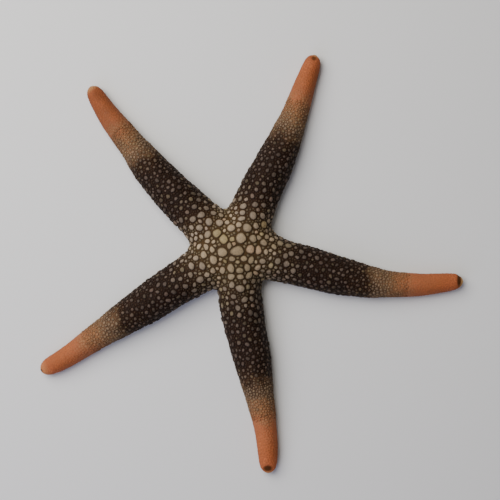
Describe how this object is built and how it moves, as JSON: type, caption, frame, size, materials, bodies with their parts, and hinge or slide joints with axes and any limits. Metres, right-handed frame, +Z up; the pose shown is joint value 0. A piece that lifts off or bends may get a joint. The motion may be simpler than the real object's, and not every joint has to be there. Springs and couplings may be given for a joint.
{
  "type": "dried starfish",
  "caption": "Dried starfish with a low plated disc and slender, slightly bent arms that taper to smooth tips, lying on its grooved flat underside.",
  "frame": {"origin": "middle of the outline, on the surface that the starfish lies on", "axes": "+Z up out of the back, +X to the picture's right and +Y to the picture's top"},
  "size_m": [0.1512, 0.1498, 0.0135],
  "materials": {
    "dried_skin": "dry and matte; cream plates on dark brown skin over the disc and the inner arms, granular tan and then orange towards the tips"
  },
  "bodies": {
    "root": {"starfish": "dried_skin"}
  },
  "joints": []
}
